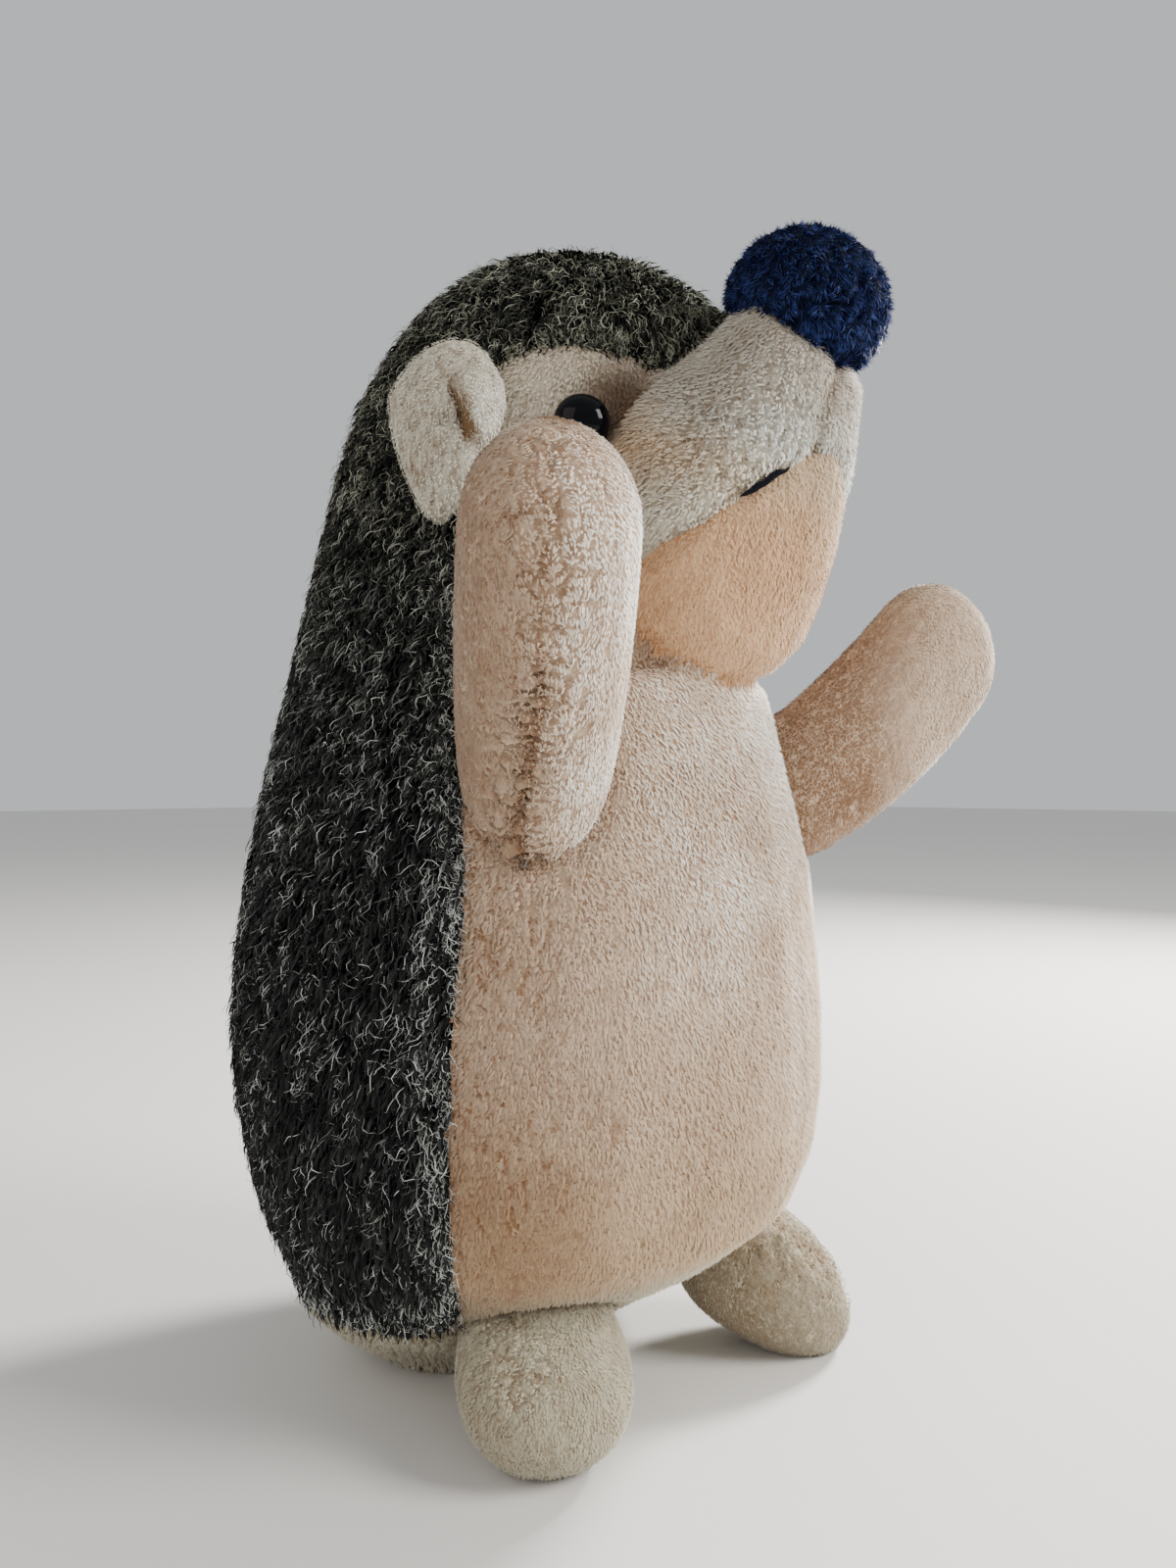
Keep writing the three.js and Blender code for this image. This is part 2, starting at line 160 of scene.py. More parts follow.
class Skin:
    """A mesh of quads kept as arrays, with a normal for each point."""

    def __init__(self, points, quads):
        self.points = points
        self.quads = quads
        # crease carries painted shade: the pile and cloth in the folds are tinted darker where shade
        # falls
        self.crease = np.zeros(len(points))      # 1 in the folds, where the pile looks darkest
        self.renew()
        self.soft = self.normals                 # the normals before any crease is pressed in

    def renew(self):
        a, b, c, d = (self.points[self.quads[:, k]] for k in range(4))
        flat = np.cross(c - a, d - b)
        total = np.zeros_like(self.points)
        for k in range(4):
            np.add.at(total, self.quads[:, k], flat)
        self.normals = unit(total)
        self.areas = np.linalg.norm(flat, axis=-1) / 2

    def move(self, offsets):
        """Moves each point along its normal."""
        self.points = self.points + self.normals * np.asarray(offsets)[:, None]
        self.renew()

    def relax(self, values, times):
        """Evens out a value per point, or a vector per point, over the neighbours."""
        for _ in range(times):
            total = np.zeros_like(values)
            count = np.zeros(len(values))
            for k in range(4):
                for step in (1, 3):
                    np.add.at(total, self.quads[:, k], values[self.quads[:, (k + step) % 4]])
                    np.add.at(count, self.quads[:, k], 1)
            share = count[:, None] if values.ndim > 1 else count
            values = values * 0.3 + 0.7 * total / np.maximum(share, 1)
        return values

    def part(self, chosen):
        """The skin made of the chosen quads alone."""
        quads = self.quads[chosen]
        used, numbers = np.unique(quads, return_inverse=True)
        piece = Skin(self.points[used], numbers.reshape(-1, 4))
        piece.normals = self.normals[used]
        piece.crease = self.crease[used]
        piece.soft = self.soft[used]
        return piece


def node_points(name):
    """A node's points, merged, with their normals and faces, as a bmesh."""
    bm = bmesh.new()
    bm.from_mesh(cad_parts[name].data)
    bmesh.ops.remove_doubles(bm, verts=bm.verts, dist=1e-6)
    bm.normal_update()
    return bm


def wrapped(nodes, voxel, softening):
    """One closed skin drawn round the solids of the named nodes."""
    joined = bmesh.new()
    for name in nodes:
        bm = node_points(name)
        for v in bm.verts:
            v.co += v.normal * SWELL
        mesh = bpy.data.meshes.new("solid")
        bm.to_mesh(mesh)
        bm.free()
        joined.from_mesh(mesh)
        bpy.data.meshes.remove(mesh)
    mesh = bpy.data.meshes.new("solids")
    joined.to_mesh(mesh)
    joined.free()
    obj = bpy.data.objects.new("solids", mesh)
    bpy.context.scene.collection.objects.link(obj)
    remesh = obj.modifiers.new("wrap", "REMESH")
    remesh.mode = "VOXEL"
    remesh.voxel_size = voxel
    soften = obj.modifiers.new("soften", "SMOOTH")
    soften.factor = 0.5
    soften.iterations = softening
    made = bpy.data.meshes.new_from_object(obj.evaluated_get(bpy.context.evaluated_depsgraph_get()))
    points = np.empty(len(made.vertices) * 3)
    made.vertices.foreach_get("co", points)
    quads = np.empty(len(made.loops), dtype=np.int32)
    made.loops.foreach_get("vertex_index", quads)
    bpy.data.objects.remove(obj)
    bpy.data.meshes.remove(made)
    bpy.data.meshes.remove(mesh)
    skin = Skin(points.reshape(-1, 3), quads.reshape(-1, 4))
    skin.move(np.full(len(skin.points), -SWELL))
    return skin


def tree_of(nodes):
    """A search tree over the solids of the named nodes, and the node's number for each face."""
    points, faces, owner = [], [], []
    for number, name in enumerate(nodes):
        bm = node_points(name)
        start = len(points)
        points += [v.co.copy() for v in bm.verts]
        bm.verts.index_update()
        for f in bm.faces:
            faces.append([v.index + start for v in f.verts])
            owner.append(number)
        bm.free()
    return BVHTree.FromPolygons(points, faces), owner


def labels_of(skin, nodes):
    """The number of the node nearest to each point of the skin."""
    tree, owner = tree_of(nodes)
    return np.array([owner[tree.find_nearest(Vector(p))[2]] for p in skin.points])


def way_to(points, targets):
    """The vector from each point to the nearest target."""
    tree = KDTree(len(targets))
    for number, p in enumerate(targets):
        tree.insert(p, number)
    tree.balance()
    return np.array([tree.find(p)[0] for p in points]).reshape(-1, 3) - points


def distance_to(points, targets):
    return np.linalg.norm(way_to(points, targets), axis=-1)


def evened(points, reach):
    """Each point moved to the middle of the points within reach of it."""
    tree = KDTree(len(points))
    for number, p in enumerate(points):
        tree.insert(p, number)
    tree.balance()
    near = ([points[n] for _, n, _ in tree.find_range(p, reach)] for p in points)
    return np.array([np.mean(group, axis=0) for group in near])


def settle(skin, depth, tree, push):
    """Moves a skin in by its depth, and presses its base into the solids that it sits on."""
    found = [tree.find_nearest(Vector(p)) for p in skin.points]
    under = np.array([hit[1] for hit in found])
    gap = np.array([hit[3] for hit in found])
    base = skin.relax(smooth(2.0 * MM, 0.7 * MM, gap), 1)[:, None]
    inward = skin.normals * depth[:, None]
    facing = np.sum(skin.normals * under, axis=-1, keepdims=True)
    sideways = (skin.normals - under * facing) * depth[:, None]
    skin.points = skin.points - inward * (1 - base) - (sideways + under * push) * base
    skin.renew()


def seam_points(skin, labels, pick):
    """The middles of the edges where pick(label) changes."""
    found = []
    flags = pick(labels)
    for k in range(4):
        a, b = skin.quads[:, k], skin.quads[:, (k + 1) % 4]
        cross = (flags[a] != flags[b]) & (a < b)
        found.append((skin.points[a[cross]] + skin.points[b[cross]]) / 2)
    return np.concatenate(found)


def as_object(name, skin, material):
    """Shows a skin as an object of its own."""
    mesh = bpy.data.meshes.new(name)
    fill_mesh(mesh, skin.points, skin.quads, None)
    colour = np.zeros((len(skin.points), 4), dtype=np.float32)
    # The cloth's tint: painted darker in the creases, as shade
    colour[:, 1] = 0.5 - 0.45 * skin.crease
    shade = mesh.color_attributes.new(COLOUR_NAME, "FLOAT_COLOR", "POINT")
    shade.data.foreach_set("color", colour.ravel())
    obj = bpy.data.objects.new(name, mesh)
    bpy.context.scene.collection.objects.link(obj)
    mesh.materials.append(material)
    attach(obj, "root")
    return obj


def fill_mesh(mesh, points, quads, triangles):
    """Writes points, quads and triangles into an empty mesh, smooth shaded."""
    counts = [(quads, 4), (triangles, 3)]
    corners = np.concatenate([f.ravel() for f, _ in counts if f is not None and len(f)])
    sizes = np.concatenate([np.full(len(f), n) for f, n in counts if f is not None and len(f)])
    starts = np.concatenate([[0], np.cumsum(sizes)[:-1]])
    mesh.vertices.add(len(points))
    mesh.vertices.foreach_set("co", np.ascontiguousarray(points, dtype=np.float32).ravel())
    mesh.loops.add(len(corners))
    mesh.loops.foreach_set("vertex_index", corners.astype(np.int32))
    mesh.polygons.add(len(sizes))
    mesh.polygons.foreach_set("loop_start", starts.astype(np.int32))
    mesh.polygons.foreach_set("loop_total", sizes.astype(np.int32))
    mesh.update(calc_edges=True)
    mesh.shade_smooth()


# ---- tufts


class Roots:
    """Where tufts grow: a place, a normal and a way to lie for each."""

    def __init__(self, points, normals, lies, crease=None, soft=None):
        self.points = points
        self.normals = normals
        self.crease = crease
        self.soft = soft
        flat = lies - normals * np.sum(lies * normals, axis=-1, keepdims=True)
        self.lies = unit(flat)

    def __len__(self):
        return len(self.points)

    def pick(self, chosen):
        return Roots(self.points[chosen], self.normals[chosen], self.lies[chosen])


def scatter(skin, density, way, rng):
    """Roots spread over a skin, density to a square metre; way(points, normals) gives the lie.

    density may be one number, or a function of the points.
    """
    if callable(density):
        density = density(skin.points[skin.quads].mean(axis=1))
    expected = skin.areas * density
    counts = np.floor(expected + rng.random(len(expected))).astype(int)
    quad = np.repeat(np.arange(len(counts)), counts)
    u, v = rng.random((2, len(quad), 1))
    weights = [(1 - u) * (1 - v), u * (1 - v), u * v, (1 - u) * v]
    at = skin.quads[quad]
    points = sum(w * skin.points[at[:, k]] for k, w in enumerate(weights))
    normals = unit(sum(w * skin.normals[at[:, k]] for k, w in enumerate(weights)))
    crease = sum(w[:, 0] * skin.crease[at[:, k]] for k, w in enumerate(weights))
    soft = unit(sum(w * skin.soft[at[:, k]] for k, w in enumerate(weights)))
    return Roots(points, normals, way(points, normals), crease, soft)


def spread(values):
    """The values' order, as evenly spaced numbers from 0 to 1."""
    places = np.empty(len(values))
    places[np.argsort(values, kind="stable")] = np.linspace(0, 1, len(values))
    return places


def unwrap(points):
    """A round-the-form unwrap of a piece about its own long axis, filling the square."""
    centred = points - points.mean(axis=0)
    axes = axes_of(centred)
    along, across, facing = centred @ axes[:, 2], centred @ axes[:, 1], centred @ axes[:, 0]
    turn = np.arctan2(across, facing)
    rise = np.arctan2(along, np.hypot(across, facing))
    room = 1 - 4 * UV_PATCH
    return np.stack([spread(turn), spread(rise)], axis=-1) * room + UV_PATCH


def tufts(name, roots, material, rng, length, width, lift, droop, segments, tint, curl=0.0,
          turns=1.0, ridge=0.35, roll=0.0, sink=0.3 * MM, facing=None):
    """Grows one tapered tuft on each root and shows them all as one object.

    length, width, lift (slope of the tuft off the skin), curl (radius of its wave) and tint may be
    one number or one for each root. ridge is the height of the middle over the edges, as a share of
    the width: 0 makes a flat blade. facing gives each tuft one normal, so that tufts side by side
    shade as one soft nub. No tuft reaches under the floor.
    """
    count = len(roots)
    length, width, lift, curl, turns, tint = (
        np.broadcast_to(np.asarray(x, dtype=float), (count,)) for x in
        (length, width, lift, curl, turns, tint)
    )
    side = np.cross(roots.normals, roots.lies)
    phase = rng.random(count) * 2 * math.pi
    hand = np.where(rng.random(count) < 0.5, -1.0, 1.0)
    across = (-0.5, 0.0, 0.5) if ridge else (-0.5, 0.5)
    rows = len(across)
    spin = (rng.random(count) * 2 - 1) * roll
    points = np.empty((count, rows * segments + 1, 3))
    along = np.empty(rows * segments + 1)
    cross = np.empty(rows * segments + 1)
    for k in range(segments + 1):
        s = k / segments
        bend = 2 * math.pi * turns * s * hand + phase
        rise = lift * (s - droop * s * s)
        wave = curl * s ** 0.5
        centre = (
            roots.points
            - roots.normals * sink
            + roots.lies * (length * s)[:, None]
            + roots.normals * (length * rise + wave * (np.cos(bend) - np.cos(phase)))[:, None]
            + side * (wave * (np.sin(bend) - np.sin(phase)))[:, None]
        )
        if k == segments:
            points[:, -1] = centre
            along[-1], cross[-1] = 1.0, 0.5
            break
        thick = width * (1 - s ** 3)
        edge = side * np.cos(spin)[:, None] + roots.normals * np.sin(spin)[:, None]
        for j, place in enumerate(across):
            lump = ridge * (1 - abs(place) * 2)
            off = edge * (thick * place)[:, None]
            points[:, k * rows + j] = centre + off + roots.normals * (thick * lump)[:, None]
            along[k * rows + j], cross[k * rows + j] = s, place + 0.5
    points[..., 2] = np.maximum(points[..., 2], FLOOR_CLEAR)
    per = points.shape[1]
    quads, tris = [], []
    for j in range(rows - 1):
        for k in range(segments - 1):
            a = k * rows + j
            quads.append((a + 1, a, a + rows, a + 1 + rows))
        a = (segments - 1) * rows + j
        tris.append((a + 1, a, per - 1))
    base = (np.arange(count) * per)[:, None, None]
    quads = (np.array(quads)[None] + base).reshape(-1, 4) if quads else np.empty((0, 4), dtype=int)
    tris = (np.array(tris)[None] + base).reshape(-1, 3)
    mesh = bpy.data.meshes.new(name)
    fill_mesh(mesh, points.reshape(-1, 3), quads, tris)
    corners = np.concatenate([quads.ravel(), tris.ravel()])
    uv = unwrap(roots.points)[:, None, :] + np.stack([cross, along], axis=-1)[None] * UV_PATCH
    layer = mesh.uv_layers.new(name=UV_NAME)
    layer.data.foreach_set("uv", uv.reshape(-1, 2)[corners].astype(np.float32).ravel())
    colour = np.ones((count, per, 4), dtype=np.float32)
    colour[..., 0] = along[None]
    colour[..., 1] = tint[:, None]
    colour[..., 2] = rng.random(count)[:, None]
    shade = mesh.color_attributes.new(COLOUR_NAME, "FLOAT_COLOR", "POINT")
    shade.data.foreach_set("color", colour.ravel())
    if facing is not None:
        mesh.normals_split_custom_set_from_vertices(np.repeat(facing, per, axis=0))
    obj = bpy.data.objects.new(name, mesh)
    bpy.context.scene.collection.objects.link(obj)
    mesh.materials.append(material)
    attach(obj, "root")
    return obj


# ---- materials


class Nodes:
    """A short way to write a material's nodes."""

    def __init__(self, name):
        self.material = bpy.data.materials.new(name)
        self.material.use_nodes = True
        self.tree = self.material.node_tree
        self.shader = self.tree.nodes["Principled BSDF"]
        self.place = self.add("ShaderNodeTexCoord").outputs["Object"]

    def add(self, kind, **settings):
        node = self.tree.nodes.new(kind)
        for key, value in settings.items():
            setattr(node, key, value)
        return node

    def put(self, socket, value):
        """Links an output to a socket, or sets a plain value on it."""
        if isinstance(value, bpy.types.NodeSocket):
            self.tree.links.new(value, socket)
        elif isinstance(value, tuple) and len(value) == 3 and len(socket.default_value) == 4:
            socket.default_value = (*value, 1)
        else:
            socket.default_value = value

    def noise(self, size, detail=2.0, stretch=None):
        """Noise whose blobs are about size across."""
        node = self.add("ShaderNodeTexNoise")
        self.put(node.inputs["Vector"], self.stretched(stretch) if stretch else self.place)
        self.put(node.inputs["Scale"], 1 / size)
        self.put(node.inputs["Detail"], detail)
        return node.outputs["Fac"]

    def stretched(self, scales):
        node = self.add("ShaderNodeMapping")
        self.put(node.inputs["Vector"], self.place)
        node.inputs["Scale"].default_value = scales
        return node.outputs["Vector"]

    def math(self, operation, a, b=0.0, clamp=False):
        node = self.add("ShaderNodeMath", operation=operation, use_clamp=clamp)
        self.put(node.inputs[0], a)
        self.put(node.inputs[1], b)
        return node.outputs[0]

    def ranged(self, value, low, high, to_low=0.0, to_high=1.0):
        node = self.add("ShaderNodeMapRange", interpolation_type="SMOOTHSTEP")
        for socket, x in zip(node.inputs[:5], (value, low, high, to_low, to_high)):
            self.put(socket, x)
        return node.outputs[0]

    def mix(self, factor, a, b, blend="MIX"):
        node = self.add("ShaderNodeMix", data_type="RGBA", blend_type=blend)
        self.put(node.inputs[0], factor)
        self.put(node.inputs[6], a)
        self.put(node.inputs[7], b)
        return node.outputs[2]

    def height(self):
        split = self.add("ShaderNodeSeparateXYZ")
        self.put(split.inputs[0], self.place)
        return split.outputs[2]

    def near(self, spot, inner, outer):
        """1 within inner of a spot, falling to 0 at outer."""
        node = self.add("ShaderNodeVectorMath", operation="DISTANCE")
        self.put(node.inputs[0], self.place)
        node.inputs[1].default_value = tuple(spot)
        return self.ranged(node.outputs["Value"], inner, outer, 1.0, 0.0)

    def tuft(self):
        """Along the tuft from root to tip, its tint, and a random number."""
        node = self.add("ShaderNodeVertexColor", layer_name=COLOUR_NAME)
        split = self.add("ShaderNodeSeparateColor")
        self.put(split.inputs[0], node.outputs["Color"])
        return split.outputs[0], split.outputs[1], split.outputs[2]

    def bump(self, height, distance, strength=1.0):
        node = self.add("ShaderNodeBump")
        self.put(node.inputs["Height"], height)
        self.put(node.inputs["Distance"], distance)
        self.put(node.inputs["Strength"], strength)
        self.put(self.shader.inputs["Normal"], node.outputs["Normal"])

    def finish(self, colour, roughness, **plain):
        self.put(self.shader.inputs["Base Color"], colour)
        self.put(self.shader.inputs["Roughness"], roughness)
        for name, value in plain.items():
            self.put(self.shader.inputs[name.replace("_", " ")], value)
        return self.material


def axes_of(centred):
    """The ways that some points about their middle reach, the shortest first, as columns."""
    return np.linalg.eigh(centred.T @ centred)[1]


def corners_of(node):
    """A node's points as an array."""
    bm = node_points(node)
    points = np.array([v.co for v in bm.verts])
    bm.free()
    return points


def middle_of(node):
    low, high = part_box(node)
    return (np.array(low) + np.array(high)) / 2


# The head faces this way, and this is its own left.
HEAD_TURN = math.radians(10)
AHEAD = np.array([math.sin(HEAD_TURN), -math.cos(HEAD_TURN), 0])
HEAD_LEFT = np.array([math.cos(HEAD_TURN), math.sin(HEAD_TURN), 0])
EYES = [middle_of("eye_" + side) for side in SIDES]
NOSE = middle_of("nose")


# The ear's hollow lies this far ahead of, out from and above the ear's middle.
HOLLOW_AT = (4.6 * MM, 2.0 * MM, 2.5 * MM)


class EarFrame:
    """An ear's middle, the way out of the head, and the way toward the face."""

    def __init__(self, side):
        self.middle = middle_of("ear_" + side)
        self.out = unit(self.middle * np.array([1, 1, 0]))
        ahead = np.cross(self.out, [0, 0, 1])
        self.ahead = ahead * np.sign(ahead @ AHEAD)
        ahead, out, up = HOLLOW_AT
        self.hollow = self.middle + self.ahead * ahead + self.out * out + np.array([0, 0, up])


EARS = [EarFrame(side) for side in SIDES]

# Pale tip and brown shadow of each plush, in linear light, and how whitish its palest pile is
# painted, as sheen.
PLUSHES = {
    "tan": ((0.76, 0.615, 0.47), (0.24, 0.13, 0.07), 0.9),
    "muzzle": ((0.65, 0.63, 0.56), (0.19, 0.135, 0.085), 0.45),
    "face": ((0.76, 0.71, 0.60), (0.25, 0.17, 0.105), 0.4),
    "jaw": ((0.80, 0.59, 0.40), (0.36, 0.19, 0.095), 0.3),
    "ear": ((0.88, 0.88, 0.76), (0.17, 0.10, 0.05), 1.0),
}
# The whitish of the painted sheen on the palest pile
WHITISH = (0.93, 0.94, 0.90)
BROWN = (0.075, 0.036, 0.018)
GOLDEN = (0.86, 0.78, 0.60)
# Painted shade near the floor: the tan pile is greyer and less red below about 3 cm
SHADE_NEAR_FLOOR = (0.83, 1.0, 1.02)
TEMPLE = (1.2, 0.97, 0.76)
# Painted highlight: the lower muzzle, at the cheek and above the lip, is paler and whiter where light
# falls on it
CHEEK_HIGHLIGHT = (1.34, 1.40, 1.40)
UPPER_LIP_HIGHLIGHT = (1.22, 1.36, 1.46)
CHIN = (1.02, 0.95, 0.87)
LIP = (0.85, 0.95, 1.0)


@functools.cache
def plush(kind, tufted=False):
    """Plush cloth: the ground under the pile, or the pile's own tufts. Each is made once."""
    n = Nodes(kind + ("_pile" if tufted else "_cloth"))
    tip, shadow, painted_sheen = PLUSHES[kind]
    if kind == "face":
        throat = n.ranged(n.height(), 176 * MM, 190 * MM, 1.0, 0.0)
        below = PLUSHES["tan"]
        tip, shadow = n.mix(throat, tip, below[0]), n.mix(throat, shadow, below[1])
    patches = n.ranged(n.noise(24 * MM, 3), 0.3, 0.7, -0.09, 0.09)
    along, tint, _ = n.tuft()
    if tufted:
        # The pile is painted a little darker toward its roots, as shade
        lit = n.math("MULTIPLY", tint, n.ranged(along, 0.0, 0.9, 0.8, 1.0))
    else:
        mottle = n.ranged(n.noise(1.6 * MM, 3, (1, 1, 0.55)), 0.35, 0.65, -0.25, 0.05)
        lit = n.math("ADD", tint, mottle)
        n.bump(n.noise(0.9 * MM, 4), 0.6 * MM, 0.8)
    lit = n.math("ADD", lit, patches, clamp=True)
    # Painted sheen: the palest pile is mixed toward whitish, up to painted_sheen
    colour = n.mix(n.ranged(lit, 0.78, 1.0, 0.0, painted_sheen), n.mix(lit, shadow, tip), WHITISH)
    return n.finish(
        marks_and_painted_light(n, colour, kind), 0.9, Sheen_Weight=0.3, Sheen_Roughness=0.4,
        Sheen_Tint=(0.95, 0.92, 0.86), Specular_IOR_Level=0.12,
    )


def marks_and_painted_light(n, colour, kind):
    """Brown between the eyes and the muzzle, a warm temple, a painted highlight on the lower muzzle,
    and gold low down, with painted shade near the floor.
    """
    plain = (1.0, 1.0, 1.0)
    if kind == "face":
        for eye, inward in zip(EYES, (1, -1)):
            to_muzzle = AHEAD * 0.68 + HEAD_LEFT * (0.73 * inward)
            spot = eye + to_muzzle * 9 * MM + np.array([0, 0, 4.5 * MM])
            colour = n.mix(n.math("MULTIPLY", n.near(spot, 4.5 * MM, 14 * MM), 0.88), colour, BROWN)
    if kind == "muzzle":
        grey = n.near(NOSE, 36 * MM, 52 * MM)
        cheek = n.mix(n.ranged(n.height(), 188 * MM, 206 * MM), CHEEK_HIGHLIGHT, TEMPLE)
        front = n.mix(n.ranged(n.height(), 196 * MM, 216 * MM), UPPER_LIP_HIGHLIGHT, plain)
        colour = n.mix(1.0, colour, n.mix(grey, cheek, front), "MULTIPLY")
    if kind == "jaw":
        colour = n.mix(1.0, colour, n.mix(n.near(NOSE, 36 * MM, 58 * MM), CHIN, LIP), "MULTIPLY")
    if kind == "tan":
        low = n.ranged(n.height(), 40 * MM, 90 * MM, 0.65, 0.0)
        feet = n.ranged(n.height(), 28 * MM, 38 * MM, 1.0, 0.0)
        tone = n.mix(feet, n.mix(low, plain, GOLDEN), SHADE_NEAR_FLOOR)
        colour = n.mix(1.0, colour, tone, "MULTIPLY")
    return colour


def fur(name, tufted):
    """Near-black fur whose strands turn khaki and whitish."""
    n = Nodes(name)
    root = n.mix(n.noise(9 * MM), (0.0012, 0.0018, 0.0026), (0.0035, 0.0042, 0.0045))
    if not tufted:
        return n.finish(root, 0.95, Specular_IOR_Level=0.03)
    along, tint, chance = n.tuft()
    low = n.mix(chance, (0.58, 0.60, 0.54), (0.95, 1.0, 1.0))
    high = n.mix(chance, (0.33, 0.33, 0.25), (0.54, 0.56, 0.46))
    pale = n.mix(n.ranged(n.height(), 120 * MM, 220 * MM), low, high)
    lit = n.math("MULTIPLY", n.ranged(along, 0.05, 0.5), tint, clamp=True)
    return n.finish(n.mix(lit, root, pale), 0.7, Specular_IOR_Level=0.08)


# ---- camera, light and floor

CAMERA_AT = (-194.45 * MM, -218.5 * MM, 136 * MM)
CAMERA_TURN = -45
FLOOR_REACH = 6.0


def camera():
    """Level with the toy's middle, about 29 cm away, as through a wide phone lens."""
    data = bpy.data.cameras.new("camera")
    data.lens = 27
    data.sensor_width = 36
    data.clip_start = 0.01
    obj = bpy.data.objects.new("camera", data)
    obj.location = CAMERA_AT
    obj.rotation_euler = (math.radians(90), 0, math.radians(CAMERA_TURN))
    bpy.context.scene.collection.objects.link(obj)
    bpy.context.scene.camera = obj


def lamp(name, place, size, power, colour):
    """A soft square light that faces the toy's middle."""
    data = bpy.data.lights.new(name, "AREA")
    data.size = size
    data.energy = power
    data.color = colour
    obj = bpy.data.objects.new(name, data)
    obj.location = place
    aim = Vector((0, -0.02, 0.13)) - Vector(place)
    obj.rotation_mode = "QUATERNION"
    obj.rotation_quaternion = aim.to_track_quat("-Z", "Y")
    bpy.context.scene.collection.objects.link(obj)


def studio():
    """A pale floor and soft light, the brightest from behind on the toy's left."""
    mesh = bpy.data.meshes.new("floor")
    corners = ((-1, -1), (1, -1), (1, 1), (-1, 1))
    mesh.from_pydata([(x * FLOOR_REACH, y * FLOOR_REACH, 0) for x, y in corners], [], [(0, 1, 2, 3)])
    floor = bpy.data.objects.new("floor", mesh)
    bpy.context.scene.collection.objects.link(floor)
    n = Nodes("floor")
    colour = n.mix(n.noise(400 * MM), (0.70, 0.69, 0.67), (0.74, 0.73, 0.71))
    mesh.materials.append(n.finish(colour, 0.8))
    lamp("key", (0.60, -1.10, 0.85), 0.6, 26, (1.0, 0.97, 0.92))
    lamp("sun", (0.85, -0.05, 0.55), 0.2, 25, (1.0, 0.97, 0.93))
    lamp("fill", (-1.1, -0.1, 0.7), 0.9, 5, (1.0, 0.90, 0.78))
    world = bpy.data.worlds.new("studio")
    world.use_nodes = True
    back = world.node_tree.nodes["Background"]
    back.inputs["Color"].default_value = (0.93, 0.95, 0.97, 1)
    back.inputs["Strength"].default_value = 0.64
    bpy.context.scene.world = world


# ---- the stuffed body


def body_skins():
    """The whole body's skin, parted into panels, with a groove along every seam."""
    whole = wrapped(PANELS, BODY_VOXEL, 3)
    labels = labels_of(whole, PANELS)
    quad_labels = labels[whole.quads[:, 0]]
    straighten(whole, quad_labels)
    is_dark = lambda x: np.isin(x, [PANELS.index(p) for p in DARK_PANELS])
    fur_seam = evened(seam_points(whole, labels, is_dark), 4 * MM)
    is_face = lambda x: x == PANELS.index("face")
    face_seam = evened(seam_points(whole, labels, is_face), 4 * MM)
    sewn = evened(seam_points(whole, labels, lambda x: np.where(is_dark(x), -1, x)), 3 * MM)
    from_fur = distance_to(whole.points, fur_seam)
    from_seam = distance_to(whole.points, sewn)
    dark = is_dark(labels)
    depth = np.where(is_face(labels), FACE_DEPTH, TAN_DEPTH)
    depth = depth + SEAM_GROOVE * bell(from_seam, SEAM_WIDTH)
    ahead, aside = whole.points @ AHEAD, whole.points @ HEAD_LEFT
    on_snout = smooth(60 * MM, 70 * MM, ahead) * smooth(163 * MM, 175 * MM, whole.points[:, 2])
    stray = 2.4 * MM + 5.0 * MM * smooth(227 * MM, 206 * MM, whole.points[:, 2])
    aside = aside + stray + (noise(whole.points, 7 * MM, 77) - 0.5) * 2.5 * MM
    on_jaw = labels == PANELS.index("jaw")
    centre_seam = on_snout * bell(aside, SNOUT_SEAM_WIDTH) * np.where(on_jaw, 0.2, 1)
    depth = depth + SNOUT_GROOVE * centre_seam
    limbs = tree_of(["arm_" + side for side in SIDES] + ["foot_" + side for side in SIDES])[0]
    from_limb = np.array([limbs.find_nearest(Vector(p))[3] for p in whole.points])
    beside_limb = bell(from_limb, 1.9 * MM)
    depth = depth + LIMB_DENT * beside_limb
    # Painted shade: the pile and cloth are tinted darker down the snout's seam, round the limbs'
    # roots and along the seams
    crease = 0.7 * centre_seam + 0.4 * beside_limb + 0.45 * bell(from_seam, 1.3 * MM)
    whole.crease = np.clip(crease, 0, 1)
    under_fur = SEAM_DEPTH + (FUR_DEPTH - SEAM_DEPTH) * smooth(0, 9 * MM, from_fur)
    under_plush = depth + (SEAM_DEPTH - depth) * (1 - smooth(0, 3.5 * MM, from_fur))
    depth = whole.relax(np.where(dark, under_fur, under_plush), 2)
    whole.move(-depth * off_floor(whole))
    groups = {"fur_ground": DARK_PANELS}
    groups.update({"cloth_" + p: (p,) for p in PANELS if p not in DARK_PANELS})
    skins = {}
    for name, members in groups.items():
        chosen = np.isin(quad_labels, [PANELS.index(m) for m in members])
        piece = whole.part(chosen)
        piece.members = members
        skins[name] = piece
    return skins, fur_seam, face_seam


def straighten(skin, quad_labels):
    """Draws the stepped line between two panels out into a smooth one."""
    low = np.full(len(skin.points), len(PANELS))
    high = np.full(len(skin.points), -1)
    for k in range(4):
        np.minimum.at(low, skin.quads[:, k], quad_labels)
        np.maximum.at(high, skin.quads[:, k], quad_labels)
    between = np.flatnonzero(low != high)
    skin.points[between] = evened(skin.points[between], 2.6 * MM)
    skin.renew()


